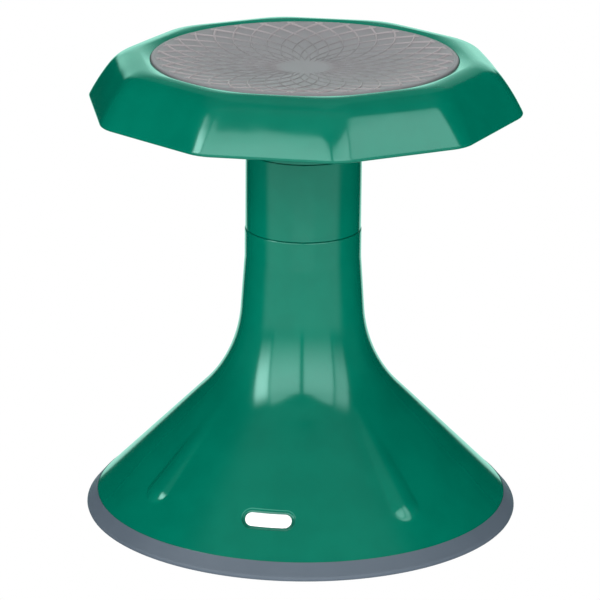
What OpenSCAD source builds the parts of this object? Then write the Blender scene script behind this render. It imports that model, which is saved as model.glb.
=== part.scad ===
// Wobble stool: a ten-sided seat with a dished grip pad, a screw-in column and
// a flared base that rocks on a domed, rubber-edged underside.
// Millimetres, +Z up, origin on the stool's axis at floor level, front at -Y.

/* [Base] */
// Radius of the rubber rim at its widest
rim_r = 168.9; // [168.4:0.1:170]
// Height at which the rubber rim is widest
rim_mid_z = 23.2; // [22.8:0.1:23.4]
// Radius of the rim's section above its widest height
rim_section_r = 9.3; // [9.2:0.1:9.8]
// Radius of the rim's section below its widest height
rim_under_r = 5; // [4:0.5:6]
// Radius of the bell at its lower edge
bell_foot_r = 159.6; // [159.2:0.1:159.8]
// Height of the bell at its lower edge
bell_foot_z = 32; // [31.5:0.1:32.5]
// Radius of the concave flare between neck and cone
flare_r = 105.5; // [100:0.5:110]
// Length of the straight band at the top of the neck
neck_band = 22.5; // [18:0.5:26]
// Taper of the neck on each side below the band, in degrees
neck_taper = 4; // [3.5:0.1:4.5]
// Wall thickness of the bell
bell_wall = 3.5; // [3:0.1:4]
// Radius of the domed underside that the stool rocks on
rocker_r = 700; // [690:5:720]
// Radius of the small flat at the middle of the underside
sole_flat_r = 22; // [18:1:26]
// Radius of the grip disc under the base
sole_r = 45; // [40:1:48]

/* [Swells and badge] */
// Number of tapered swells raised on the cone
swell_count = 4; // [2:1:4]
// Direction of the first swell, in degrees from +X
swell_angle = 36; // [34:1:38]
// Radius at which a swell starts
swell_start_r = 77; // [75:1:85]
// Radius at which a swell ends
swell_end_r = 142; // [134:1:144]
// Width of a swell at its rounded end
swell_w = 24; // [18:1:26]
// Height of a swell at its rounded end
swell_h = 3; // [2:0.1:4]
// Direction of the oval badge, in degrees from +X
badge_angle = -100.3; // [-110:0.1:-90]
// Radius of the badge's middle
badge_at_r = 136; // [134:0.5:138]
// Length of the badge
badge_l = 35.8; // [32:0.2:38]
// Height of the badge
badge_h = 11; // [10:0.2:13]

/* [Column] */
// Outer radius of the column tube
tube_r = 44.5; // [44:0.1:45]
// Wall thickness of the column tube
tube_wall = 4; // [3.6:0.1:4.1]
// Height of the neck's top edge above the floor
neck_z = 244.9; // [240:0.1:250]
// Length of the column tube
tube_l = 60.7; // [56:0.1:80]
// How far the neck stands proud of the tube
neck_proud = 0.4; // [0.2:0.1:0.6]

/* [Screw joints] */
// Lead of the coarse threads: the rise in one turn
lead = 10; // [9:0.5:11]
// Turns of ridge on each thread
thread_turns = 2; // [1.5:0.5:2]
// Radius of the threaded barrel without its ridge
barrel_r = 31.5; // [31:0.1:31.5]
// How far a thread ridge stands out
ridge_h = 2.3; // [1.8:0.1:2.3]

/* [Seat] */
// Radius to the seat's lower corners
seat_corner_r = 168.3; // [165:0.1:172]
// Height of the seat's lower edge above the top of the tube
seat_foot_rise = 35.85; // [34:0.05:37]
// Height of the seat shell from lower edge to crest
seat_h = 38.1; // [37:0.1:39]
// Apothem of the seat's crest
crest_a = 128; // [127:0.5:130]
// Slope of the seat's sides from vertical, in degrees
side_slope = 33.4; // [32:0.1:35]
// Direction of one seat corner, in degrees from +X
seat_corner_angle = 26.73; // [0:0.01:36]
// Wall thickness of the seat shell
seat_wall = 4; // [3.5:0.1:4.5]
// Radius of the grip pad
pad_r = 116.6; // [115:0.1:117]
// Height of the pad's highest ring above the seat's lower edge
pad_rise = 37.6; // [37:0.1:38]
// Depth of the dish in the pad
dish_depth = 8.4; // [6:0.1:9]

/* [Hidden] */
$fn = 96;

fit = 0.2;
slip = 0.4;
cut = 1;
big = 400;
cone_a = 45;
seat_sides = 10;
fillet_steps = 8;

// Screws: a small pan-head screw for the inserts and the pad, a larger one for the pan
screw_r = 1.5;
pilot_r = 1.55;
pass_r = 1.9;
screw_head_r = 3.2;
screw_head_h = 2.3;
pan_screw_r = 2;
pan_pilot_r = 2.05;
pan_pass_r = 2.4;
pan_head_r = 4.2;
pan_head_h = 2.8;

// Thread: the male ridge runs midway between two turns of the female one
ridge_root_w = 3.6;
ridge_crest_w = 2.2;
ridge_embed = 0.6;
ridge_steps = 36;
thread_rise = 8;
socket_bore_r = barrel_r + ridge_h + slip;
barrel_wall = 4.5;

// Seat-to-column and column-to-base stack, built at the neck; the collar repeats it upside down
socket_r = tube_r - 3.5;
socket_l = 39.8;
shelf_t = 4;
washer_t = 1.4;
washer_gap = 0.1;
washer_inset = 1;
washer_slack = 0.6;
tube_gap = 0.25;
flange_t = 5.5;
web_t = 4;
web_r_in = 24;
barrel_l = 36.9;
pilot_floor = 0.5;
spigot_z = neck_z + washer_t + 2 * washer_gap;
tube_z = neck_z + tube_gap;
tube_mid_z = tube_z + tube_l / 2;
socket_z = neck_z - socket_l;
thread_z = socket_z + thread_rise;
web_z = spigot_z + flange_t + fit;
insert_screw_count = 4;
flange_screw_at = 36;
socket_screw_at = 37.8;
flange_screw_l = 9;
socket_screw_l = 16;

// Bell profile: straight band, tapered line, arc, 45-degree cone r + z = cone_sum
neck_r = tube_r + neck_proud;
band_z = neck_z - neck_band;
cone_sum = bell_foot_r + bell_foot_z;
arc_k1 = neck_r * cos(neck_taper) + band_z * sin(neck_taper) + flare_r;
arc_k2 = cone_sum + flare_r * sqrt(2);
arc_cr = (arc_k1 - arc_k2 * sin(neck_taper)) / (cos(neck_taper) - sin(neck_taper));
arc_cz = arc_k2 - arc_cr;
bell_shelf_z = socket_z - fit - shelf_t;
bell_shelf_r = 30;
shelf_r_out = neck_r - 1;
foot_depth = 2 * bell_wall;
skirt_r = 155.9;
skirt_t = 3.7;
skirt_z = 21.5;
skirt_top_z = bell_foot_z + 3;
bell_ribs = 8;
rib_t = 2.5;
rib_h = 8;
boss_at = 130;
boss_r = 5.2;
boss_z = 21;
boss_cover = 2;
boss_angle = swell_angle + 180 / bell_ribs;
pan_pilot_h = 18;
pan_t = 4;
pan_boss_r = boss_r + 2;
pan_boss_z = 13.8;
pan_seat_z = 16;
pan_screw_l = 20;

// Domed underside: the sphere's lowest point is shaved flat over sole_flat_r
dome_drop = rocker_r - sqrt(rocker_r * rocker_r - sole_flat_r * sole_flat_r);
sole_t = 3.2;
sole_edge_z = rocker_r - dome_drop - sqrt(rocker_r * rocker_r - sole_r * sole_r);
plug_count = 3;
plug_at = 28;
plug_r = 3;
plug_top = 7.2;
plug_slack = 0.05;
hub_r = sole_r + 7;

// Swell: a cone lying under the surface, ending in a ball
swell_s = (swell_end_r - swell_start_r) * sqrt(2) - swell_w / 2;
swell_sum = swell_w * swell_w / 4 / swell_h;
swell_r2 = (swell_sum + swell_h) / 2;
swell_lift = swell_r2 - swell_h;
swell_dip = 0.2;

badge_t = 1.4;
badge_sink = 2.4;
badge_gap = 0.05;
badge_margin = 2.3;

// Seat: side line, fillet and top from the driving sizes
seat_z = tube_z + tube_l + seat_foot_rise;
crest_z = seat_z + seat_h;
seat_a = seat_corner_r * cos(180 / seat_sides);
fillet_r = ((crest_a - seat_a) * cos(side_slope) + seat_h * sin(side_slope)) / (sin(side_slope) - 1);
pad_gap = 0.3;
pocket_r = pad_r + pad_gap;
lip_drop = 1.8;
lip_reach = 5;
lip_z = crest_z - lip_drop;
floor_rise = 10.3;
floor_z = seat_z + floor_rise;
floor_t = 4;
well_r = socket_r + fit;
seat_rib_t = 2.4;
seat_rib_z = seat_z + 2.3;
rib_root_r = well_r + 1;
rib_top_z = floor_z + 1;
gusset_r = 78;
gusset_h = 22;
collar_shelf_z = 2 * tube_mid_z - socket_z + fit;

// Pad stack, from the seat's floor up
pad_z = seat_z + pad_rise;
pad_skin = 4;
pad_wall = 6;
pad_round = 3.2;
backer_t = 3;
backer_r_in = 50;
backer_z = floor_z + floor_t + fit;
pad_foot_z = backer_z + backer_t + fit;
pad_screw_at = 105;
pad_screw_count = 6;
pad_boss_r = 4.5;
pad_boss_h = 5;
pad_screw_l = 10;
core_r = 97;
dish_half = pad_r - pad_round - cut;
dish_r = (dish_half * dish_half + dish_depth * dish_depth) / (2 * dish_depth);
dish_cz = pad_z - dish_depth + dish_r;

// Repeats its children evenly around the axis
module around(count, first = 0) {
    for (k = [0:count - 1]) rotate(first + 360 * k / count) children();
}

// Turns something built at the neck over, to the top of the tube
module at_collar() {
    translate([0, 0, 2 * tube_mid_z]) rotate([180, 0, 0]) children();
}

// A flat ring standing on z
module ring(r_out, r_in, z, h) {
    translate([0, 0, z]) difference() {
        cylinder(r = r_out, h = h);
        translate([0, 0, -cut]) cylinder(r = r_in, h = h + 2 * cut);
    }
}

// Pan-head screw, its head's underside on z = 0 and its point downwards
module screw(r, length, head_r, head_h) {
    difference() {
        union() {
            translate([0, 0, -length]) cylinder(r = r, h = length);
            intersection() {
                cylinder(r = head_r, h = head_h);
                translate([0, 0, head_h - 2 * head_r]) sphere(r = 2 * head_r);
            }
        }
        translate([0, 0, head_h * 0.4]) cylinder(r = head_r * 0.5, h = head_h, $fn = 6);
    }
}

// Helical ridge of trapezoid section, rising one lead per turn
module ridge(r_root, r_crest, z0) {
    n = round(thread_turns * ridge_steps);
    section = [[r_root, -ridge_root_w / 2], [r_crest, -ridge_crest_w / 2],
        [r_crest, ridge_crest_w / 2], [r_root, ridge_root_w / 2]];
    points = [for (i = [0:n], s = section) let (a = i * 360 / ridge_steps)
        [s[0] * cos(a), s[0] * sin(a), z0 + s[1] + lead * a / 360]];
    outside = r_crest > r_root;
    walls = [for (i = [0:n - 1], j = [0:3]) let (k = (j + 1) % 4)
        [4 * i + j, 4 * i + k, 4 * i + 4 + k, 4 * i + 4 + j]];
    ends = [[3, 2, 1, 0], [4 * n, 4 * n + 1, 4 * n + 2, 4 * n + 3]];
    faces = concat(walls, ends);
    flipped = [for (f = faces) [for (m = [3:-1:0]) f[m]]];
    polyhedron(points = points, faces = outside ? faces : flipped, convexity = 6);
}

// Socket with a female thread, its mouth at the top of the neck
module socket() {
    difference() {
        union() {
            ring(socket_r, socket_bore_r, socket_z, socket_l);
            ridge(socket_bore_r + ridge_embed, socket_bore_r - ridge_h, thread_z + lead / 2);
        }
        around(insert_screw_count, 45) translate([socket_screw_at, 0, socket_z - cut])
            cylinder(r = pilot_r, h = socket_screw_l - shelf_t + 2 * cut, $fn = 32);
    }
}

// Screws that hold the socket on its shelf, driven from the far side of the shelf
module socket_screws() {
    around(insert_screw_count, 45) translate([socket_screw_at, 0, bell_shelf_z])
        mirror([0, 0, 1]) screw(screw_r, socket_screw_l, screw_head_r, screw_head_h, $fn = 32);
}

// Flanged barrel with a male thread, its flange inside the end of the tube
module spigot() {
    flange_r = tube_r - tube_wall - fit;
    bore_r = barrel_r - barrel_wall;
    difference() {
        union() {
            ring(flange_r, bore_r, spigot_z, flange_t);
            ring(barrel_r, bore_r, spigot_z - barrel_l, barrel_l + cut);
            ridge(barrel_r - ridge_embed, barrel_r + ridge_h, thread_z);
        }
        around(insert_screw_count) translate([flange_screw_at, 0, spigot_z + pilot_floor])
            cylinder(r = pilot_r, h = flange_t + cut, $fn = 32);
    }
}

// Screws through the tube's web into the spigot's flange
module spigot_screws() {
    around(insert_screw_count) translate([flange_screw_at, 0, web_z + web_t])
        screw(screw_r, flange_screw_l, screw_head_r, screw_head_h, $fn = 32);
}

// Thin washer that lies on the socket, around the barrel
module washer() {
    ring(socket_r - washer_inset, barrel_r + ridge_h + washer_slack, neck_z + washer_gap, washer_t);
}

// Half section of the bell's outer form, moved inwards by t and then open at the top
module bell_section(t) {
    r = flare_r + t;
    top_z = t > 0 ? neck_z + cut : neck_z;
    band_foot = [neck_r - t, band_z - t * tan(neck_taper / 2)];
    arc_top = [arc_cr - r * cos(neck_taper), arc_cz - r * sin(neck_taper)];
    arc_foot = [arc_cr - r * cos(cone_a), arc_cz - r * sin(cone_a)];
    foot_z = cone_sum - t * sqrt(2) - bell_foot_r;
    difference() {
        polygon([[0, foot_z], [bell_foot_r, foot_z], arc_foot, arc_top, band_foot,
            [neck_r - t, top_z], [0, top_z]]);
        translate([arc_cr, arc_cz]) circle(r = r, $fn = 180);
    }
}

module bell_solid(t) {
    rotate_extrude() bell_section(t);
}

// Moves a shape made along +X, with +Z away from the surface, onto the cone at radius r
module on_cone(angle, r) {
    rotate(angle) translate([r, 0, cone_sum - r]) rotate([0, cone_a, 0]) children();
}

// Body of a swell, shrunk by g: a cone lying under the surface that ends in a ball, cut off at low
module swell(g, low) {
    on_cone(0, swell_start_r) intersection() {
        translate([0, 0, -swell_lift]) {
            rotate([0, 90, 0])
                cylinder(r1 = swell_lift - g - swell_dip, r2 = swell_r2 - g, h = swell_s, $fn = 96);
            translate([swell_s, 0, 0]) sphere(r = swell_r2 - g, $fn = 96);
        }
        translate([0, -swell_w, low]) cube([swell_s + swell_w, 2 * swell_w, 2 * swell_h - low]);
    }
}

// Rounded bar lying across the cone, for the badge and its pocket
module stadium(l, h, t) {
    for (s = [-1, 1]) translate([0, s * (l - h) / 2, 0]) cylinder(r = h / 2, h = t, $fn = 64);
    translate([-h / 2, -(l - h) / 2, 0]) cube([h, l - h, t]);
}

// Upright web through the bell, up into the shelf
module bell_rib() {
    z = bell_foot_z + rib_h;
    translate([0, -rib_t / 2, z]) cube([bell_foot_r, rib_t, bell_shelf_z + shelf_t / 2 - z]);
}

module bell_inside() {
    intersection() {
        bell_solid(bell_wall / 2);
        difference() {
            around(bell_ribs, boss_angle) bell_rib();
            bell_solid(bell_wall + rib_h);
        }
    }
}

module base_bell() {
    color("seagreen") difference() {
        union() {
            difference() {
                union() {
                    bell_solid(0);
                    around(swell_count, swell_angle) swell(0, -bell_wall / 2);
                }
                bell_solid(bell_wall);
                around(swell_count, swell_angle) swell(bell_wall, -2 * bell_wall);
                translate([0, 0, bell_foot_z - foot_depth])
                    cylinder(r = skirt_r - skirt_t, h = foot_depth + bell_wall / 2);
            }
            bell_inside();
            ring(shelf_r_out, bell_shelf_r, bell_shelf_z, shelf_t);
            ring(skirt_r, skirt_r - skirt_t, skirt_z, skirt_top_z - skirt_z);
            around(bell_ribs, boss_angle) translate([boss_at, 0, boss_z])
                cylinder(r = boss_r, h = cone_sum - boss_at - boss_z - boss_r - boss_cover, $fn = 48);
        }
        on_cone(badge_angle, badge_at_r) translate([0, 0, -badge_sink])
            stadium(badge_l + 2 * badge_margin, badge_h + 2 * badge_margin, badge_sink + cut);
        around(insert_screw_count, 45) translate([socket_screw_at, 0, bell_shelf_z - cut])
            cylinder(r = pass_r, h = shelf_t + 2 * cut, $fn = 32);
        around(bell_ribs, boss_angle) translate([boss_at, 0, boss_z - cut])
            cylinder(r = pan_pilot_r, h = pan_pilot_h, $fn = 32);
    }
}

module neck_socket() {
    color("dimgray") socket();
}

module neck_socket_screws() {
    color("silver") socket_screws();
}

// The ball whose lowest part is the underside, moved up by t
module rocker(t) {
    translate([0, rocker_r - dome_drop + t]) circle(r = rocker_r, $fn = 1440);
}

module base_pan() {
    color("darkgreen") difference() {
        union() {
            rotate_extrude() difference() {
                intersection() {
                    square([skirt_r, skirt_z - fit]);
                    rocker(0);
                }
                intersection() {
                    rocker(pan_t);
                    translate([hub_r, 0]) square([big, big]);
                }
                translate([-cut, plug_top + fit]) square([hub_r + 2 * cut, big]);
            }
            around(bell_ribs, boss_angle) translate([boss_at, 0, pan_boss_z])
                cylinder(r = pan_boss_r, h = boss_z - fit - pan_boss_z, $fn = 48);
        }
        translate([0, 0, -cut]) cylinder(r = sole_r + fit, h = sole_t + fit + cut);
        around(plug_count, 90) translate([plug_at, 0, 0])
            cylinder(r = plug_r + plug_slack, h = plug_top + fit + cut, $fn = 32);
        around(bell_ribs, boss_angle) translate([boss_at, 0, 0]) {
            cylinder(r = pan_pass_r, h = boss_z + cut, $fn = 32);
            cylinder(r = pan_head_r + slip, h = pan_seat_z, $fn = 32);
        }
    }
}

module base_pan_screws() {
    color("silver") around(bell_ribs, boss_angle) translate([boss_at, 0, pan_seat_z])
        mirror([0, 0, 1]) screw(pan_screw_r, pan_screw_l, pan_head_r, pan_head_h, $fn = 32);
}

module rim_ring() {
    lip_r = bell_foot_r + fit;
    color("slategray") rotate_extrude() difference() {
        intersection() {
            union() {
                translate([rim_r - rim_under_r, rim_mid_z]) circle(r = rim_under_r, $fn = 96);
                square([rim_r - rim_under_r, rim_mid_z]);
                intersection() {
                    translate([rim_r - rim_section_r, rim_mid_z]) circle(r = rim_section_r, $fn = 128);
                    translate([0, rim_mid_z]) square([big, big]);
                }
            }
            translate([skirt_r + fit, 0]) square([big, big]);
            rocker(0);
        }
        translate([skirt_r, bell_foot_z - bell_wall * sqrt(2) - fit])
            square([lip_r - skirt_r, 2 * rim_section_r]);
    }
}

module sole_disc() {
    color("slategray") {
        rotate_extrude()
            polygon([[0, 0], [sole_flat_r, 0], [sole_r, sole_edge_z], [sole_r, sole_t], [0, sole_t]]);
        around(plug_count, 90) translate([plug_at, 0, sole_t - cut])
            cylinder(r = plug_r, h = plug_top - sole_t + cut, $fn = 32);
    }
}

module badge() {
    color("white") on_cone(badge_angle, badge_at_r) translate([0, 0, badge_gap - badge_sink])
        stadium(badge_l, badge_h, badge_t);
}

module neck_washer() {
    color("gainsboro") washer();
}

module column_tube() {
    color("seagreen") difference() {
        union() {
            ring(tube_r, tube_r - tube_wall, tube_z, tube_l);
            ring(tube_r - tube_wall / 2, web_r_in, web_z, web_t);
            at_collar() ring(tube_r - tube_wall / 2, web_r_in, web_z, web_t);
        }
        around(insert_screw_count) translate([flange_screw_at, 0, web_z - cut])
            cylinder(r = pass_r, h = tube_l, $fn = 32);
    }
}

module lower_spigot() {
    color("dimgray") spigot();
}

module lower_spigot_screws() {
    color("silver") spigot_screws();
}

module upper_spigot() {
    color("dimgray") at_collar() spigot();
}

module upper_spigot_screws() {
    color("silver") at_collar() spigot_screws();
}

module collar_washer() {
    color("gainsboro") at_collar() washer();
}

// Half section of the seat's outer form through a corner, moved inwards by t
module seat_section(t, foot) {
    across = 1 / cos(180 / seat_sides);
    a_foot = seat_a - t / cos(side_slope) - (foot - seat_z) * tan(side_slope);
    fillet = [for (k = [0:fillet_steps]) let (a = side_slope + (90 - side_slope) * k / fillet_steps)
        [across * (crest_a + (fillet_r - t) * cos(a)), crest_z - fillet_r + (fillet_r - t) * sin(a)]];
    polygon(concat([[0, foot], [across * a_foot, foot]], fillet, [[0, crest_z - t]]));
}

// Body with one flat side per step of the revolve
module seat_body(t, foot) {
    rotate(seat_corner_angle) rotate_extrude($fn = seat_sides) seat_section(t, foot);
}

module seat_rib() {
    rotate([90, 0, 0]) linear_extrude(height = seat_rib_t, center = true)
        polygon([[rib_root_r, seat_rib_z], [seat_corner_r, seat_rib_z],
            [seat_corner_r, rib_top_z], [rib_root_r, rib_top_z]]);
}

module seat_gusset() {
    rotate([90, 0, 0]) linear_extrude(height = seat_rib_t, center = true)
        polygon([[rib_root_r, seat_rib_z - gusset_h], [gusset_r, seat_rib_z],
            [gusset_r, rib_top_z], [rib_root_r, rib_top_z]]);
}

module seat_shell() {
    color("seagreen") difference() {
        union() {
            difference() {
                seat_body(0, seat_z);
                seat_body(seat_wall, seat_z - cut);
            }
            ring(pocket_r + seat_wall, pocket_r, floor_z, lip_z - floor_z);
            ring(pocket_r + cut, well_r, floor_z, floor_t);
            ring(tube_r, well_r, 2 * tube_mid_z - neck_z, floor_z + cut - 2 * tube_mid_z + neck_z);
            ring(well_r + cut, bell_shelf_r, collar_shelf_z, shelf_t);
            intersection() {
                seat_body(seat_wall / 2, seat_z);
                around(seat_sides, seat_corner_angle) seat_rib();
            }
            around(seat_sides, seat_corner_angle) seat_gusset();
        }
        translate([0, 0, floor_z + floor_t]) cylinder(r = pocket_r, h = seat_h);
        translate([0, 0, lip_z]) cylinder(r1 = pocket_r, r2 = pocket_r + lip_reach * (crest_a - pocket_r),
            h = lip_reach * lip_drop);
        at_collar() around(insert_screw_count, 45) translate([socket_screw_at, 0, bell_shelf_z - cut])
            cylinder(r = pass_r, h = shelf_t + 2 * cut, $fn = 32);
        around(pad_screw_count, 30) translate([pad_screw_at, 0, floor_z - cut])
            cylinder(r = pass_r, h = floor_t + 2 * cut, $fn = 32);
    }
}

module collar_socket() {
    color("dimgray") at_collar() socket();
}

module collar_socket_screws() {
    color("silver") at_collar() socket_screws();
}

module pad_backer() {
    color("dimgray") difference() {
        union() {
            ring(pad_r, backer_r_in, backer_z, backer_t);
            around(pad_screw_count, 30) translate([pad_screw_at, 0, backer_z])
                cylinder(r = pad_boss_r, h = backer_t + pad_boss_h, $fn = 32);
        }
        around(pad_screw_count, 30) translate([pad_screw_at, 0, backer_z - cut])
            cylinder(r = pilot_r, h = backer_t + pad_boss_h, $fn = 32);
    }
}

module pad_screws() {
    color("silver") around(pad_screw_count, 30) translate([pad_screw_at, 0, floor_z])
        mirror([0, 0, 1]) screw(screw_r, pad_screw_l, screw_head_r, screw_head_h, $fn = 32);
}

// Ball section that hollows the top of the pad, moved down by t
module dish(t) {
    translate([0, dish_cz]) circle(r = dish_r + t, $fn = 720);
}

module pad_core() {
    color("lightgray") rotate_extrude() difference() {
        translate([0, pad_foot_z]) square([core_r, seat_h]);
        dish(pad_skin + slip);
        translate([-cut, pad_z - pad_skin]) square([core_r + 2 * cut, seat_h]);
    }
}

module seat_pad() {
    edge_r = pad_r - pad_round;
    edge_z = pad_z - pad_round;
    color("gray") rotate_extrude() difference() {
        union() {
            translate([0, pad_foot_z]) square([pad_r, edge_z - pad_foot_z]);
            translate([0, pad_foot_z]) square([edge_r, pad_z - pad_foot_z]);
            translate([edge_r, edge_z]) circle(r = pad_round, $fn = 96);
        }
        dish(0);
        difference() {
            translate([-cut, pad_foot_z - cut]) square([pad_r - pad_wall + cut, seat_h]);
            dish(pad_skin);
            translate([-cut, pad_z - pad_skin]) square([pad_r, seat_h]);
        }
    }
}

base_bell();
neck_socket();
neck_socket_screws();
base_pan();
base_pan_screws();
rim_ring();
sole_disc();
badge();
neck_washer();
column_tube();
lower_spigot();
lower_spigot_screws();
upper_spigot();
upper_spigot_screws();
collar_washer();
seat_shell();
collar_socket();
collar_socket_screws();
pad_backer();
pad_screws();
pad_core();
seat_pad();
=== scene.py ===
# Wobble stool: the looks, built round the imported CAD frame.
# Metres, +Z up, origin on the stool's axis at floor level, front at -Y.
import math

import bmesh
import bpy
import numpy as np
from mathutils import Matrix, Vector, noise


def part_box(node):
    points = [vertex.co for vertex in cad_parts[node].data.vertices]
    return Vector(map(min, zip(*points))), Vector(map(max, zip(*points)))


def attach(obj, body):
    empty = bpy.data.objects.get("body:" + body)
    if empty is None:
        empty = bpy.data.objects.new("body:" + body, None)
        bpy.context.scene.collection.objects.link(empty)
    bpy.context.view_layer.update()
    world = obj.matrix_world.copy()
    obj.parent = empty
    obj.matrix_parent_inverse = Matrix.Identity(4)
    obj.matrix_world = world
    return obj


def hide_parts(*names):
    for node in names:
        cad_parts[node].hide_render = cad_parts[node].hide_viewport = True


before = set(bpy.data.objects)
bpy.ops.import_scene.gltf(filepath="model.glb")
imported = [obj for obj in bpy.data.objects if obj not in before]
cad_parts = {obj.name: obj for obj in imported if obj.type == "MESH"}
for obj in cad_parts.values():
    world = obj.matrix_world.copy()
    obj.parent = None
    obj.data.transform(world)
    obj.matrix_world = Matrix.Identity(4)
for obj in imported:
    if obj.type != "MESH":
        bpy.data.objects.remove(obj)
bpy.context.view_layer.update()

MM = 0.001
TAU = 2 * math.pi

# ------------------------------------------------------------ sizes taken from the frame
BELL_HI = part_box("base_bell")[1]
TUBE_LO, TUBE_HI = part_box("column_tube")
SEAT_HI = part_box("seat_shell")[1]
PAD_LO, PAD_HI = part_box("seat_pad")
RIM_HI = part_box("rim_ring")[1]
SOLE_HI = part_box("sole_disc")[1]
SOCKET_LO, SOCKET_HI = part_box("neck_socket")
BARREL_LO, BARREL_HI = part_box("lower_spigot")

TUBE_R = TUBE_HI.x
NECK_Z = BELL_HI.z
BELL_FOOT_R = BELL_HI.x
PAD_R = PAD_HI.x
MID_Z = (TUBE_LO.z + TUBE_HI.z) / 2
CREST_Z = SEAT_HI.z

# ------------------------------------------------------------ sizes of the design, angles in degrees
# the bell: neck, concave flare, 45-degree cone
NECK_R = TUBE_R + 0.4 * MM
BAND_Z = NECK_Z - 22.5 * MM
FLARE_R = 105.5 * MM
FLARE_AT = (153.1 * MM, 187.7 * MM)
BELL_FOOT_Z = 32 * MM
BELL_WALL = 3.5 * MM
# the domed underside and its flat middle
ROCKER_R = 700 * MM
SOLE_FLAT_R = 22 * MM
# the raised swells: each is a cone lying under the surface that ends in a ball
SWELL_ANGLE = 36
SWELL_COUNT = 4
SWELL_START_R = 77 * MM
SWELL_LENGTH = 79.9 * MM
SWELL_LIFT = 22.5 * MM
SWELL_END_R = 25.5 * MM
SWELL_SOFT = 0.8 * MM
# the badge and its pocket
BADGE_ANGLE = -100.3
BADGE_AT_R = 136 * MM
BADGE_L = 35.8 * MM
BADGE_H = 11 * MM
BADGE_MARGIN = 2.3 * MM
# the seat: foot of its sides, direction of a corner, lip round the pad, floor under the pad
SEAT_FOOT_Z = CREST_Z - 39.3 * MM
SEAT_FOOT_A = 160.1 * MM
SEAT_CORNER = 26.73
SIDE_SLOPE = 33.4
LIP_R = PAD_R + 0.3 * MM
LIP_Z = CREST_Z - 1.6 * MM
FLOOR_Z = CREST_Z - 27.8 * MM
FLOOR_T = 4 * MM
WELL_R = 42 * MM
INSERT_BORE_R = 30 * MM
SHELF_T = 4 * MM
# the pad
DISH_DEPTH = 8.4 * MM
PAD_ROUND = 1.6 * MM
PAD_WALL = 6 * MM
PAD_SKIN_T = 4 * MM
# the threads
THREAD_LEAD = 10 * MM
THREAD_TURNS = 2
THREAD_Z = SOCKET_LO.z + 8 * MM
THREAD_H = 2.3 * MM
BARREL_R = 31.5 * MM
# edges sharper than this stay sharp in the shading
SHARP_ANGLE = 50


# ------------------------------------------------------------ mesh helpers
def new_object(name, verts, faces, body, material):
    """A smooth mesh that rides on a body and takes its finish from a slot."""
    mesh = bpy.data.meshes.new(name)
    mesh.from_pydata([tuple(map(float, v)) for v in verts], [], faces)
    mesh.validate()
    solid = bmesh.new()
    solid.from_mesh(mesh)
    bmesh.ops.recalc_face_normals(solid, faces=solid.faces)
    solid.to_mesh(mesh)
    solid.free()
    mesh.shade_smooth()
    mesh.set_sharp_from_angle(angle=math.radians(SHARP_ANGLE))
    mesh.update()
    obj = bpy.data.objects.new(name, mesh)
    bpy.context.scene.collection.objects.link(obj)
    obj.data.materials.append(material)
    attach(obj, body)
    return obj


def ring_faces(first, second, count):
    """Quads between two rings of vertices that both run anticlockwise, the second further out."""
    return [(first + j, first + (j + 1) % count, second + (j + 1) % count, second + j) for j in range(count)]


def loft(rings, closed, cap_first=False, cap_last=False):
    """Vertices and faces of a stack of equal rings, as a closed loop or with its ends capped."""
    count = len(rings[0])
    verts = [p for ring in rings for p in ring]
    faces = []
    for i in range(len(rings) if closed else len(rings) - 1):
        faces += ring_faces(i * count, (i + 1) % len(rings) * count, count)
    if cap_first:
        faces.append(tuple(range(count))[::-1])
    if cap_last:
        base = (len(rings) - 1) * count
        faces.append(tuple(base + j for j in range(count)))
    return verts, faces


def circle(radius, z, angles, at=(0.0, 0.0)):
    """A level ring of points round an upright line."""
    return [(at[0] + radius * math.cos(a), at[1] + radius * math.sin(a), z) for a in angles]


def revolve(outline, columns=192):
    """Vertices and faces of a closed (radius, height) outline turned round the axis."""
    angles = np.linspace(0, TAU, columns, endpoint=False)
    return loft([circle(r, z, angles) for r, z in outline], closed=True)


def post(away, angle, profile, columns, closed):
    """An upright post at a distance and angle from the axis, on a (radius, height) profile in millimetres."""
    at = (away * math.cos(angle), away * math.sin(angle))
    angles = np.linspace(0, TAU, columns, endpoint=False)
    rings = [circle(r * MM, z * MM, angles, at) for r, z in profile]
    return loft(rings, closed=closed, cap_first=not closed, cap_last=not closed)


def arc(centre, radius, start, stop, steps):
    """Points on an arc, with angles in degrees from +r towards +z, both ends included."""
    angles = np.radians(np.linspace(start, stop, steps + 1))
    return [(centre[0] + radius * math.cos(a), centre[1] + radius * math.sin(a)) for a in angles]


def rounded(corners, radius, steps=5):
    """A closed outline whose corners are rounded, each by at most the radius."""
    out = []
    count = len(corners)
    for i, corner in enumerate(corners):
        before = Vector(corners[i - 1]) - Vector(corner)
        after = Vector(corners[(i + 1) % count]) - Vector(corner)
        turn = before.angle(after)
        reach = radius / math.tan(turn / 2)
        reach = min(reach, before.length * 0.49, after.length * 0.49)
        a = Vector(corner) + before.normalized() * reach
        b = Vector(corner) + after.normalized() * reach
        for k in range(steps + 1):
            t = k / steps
            out.append(tuple((1 - t) ** 2 * a + 2 * t * (1 - t) * Vector(corner) + t ** 2 * b))
    return out


def resample(points, spacing):
    """Points along an open line, no further apart than the spacing."""
    out = [points[0]]
    for a, b in zip(points, points[1:]):
        steps = max(1, math.ceil(math.dist(a, b) / spacing))
        for k in range(1, steps + 1):
            out.append(tuple(a[i] + (b[i] - a[i]) * k / steps for i in range(len(a))))
    return out


def merge(parts):
    """One list of vertices and faces from several."""
    verts, faces = [], []
    for more_verts, more_faces in parts:
        shift = len(verts)
        verts += list(more_verts)
        faces += [tuple(i + shift for i in f) for f in more_faces]
    return verts, faces


def flip_over(verts):
    """Points built at the neck, turned over about the middle of the column."""
    return [(x, -y, 2 * MID_Z - z) for x, y, z in verts]


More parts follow.
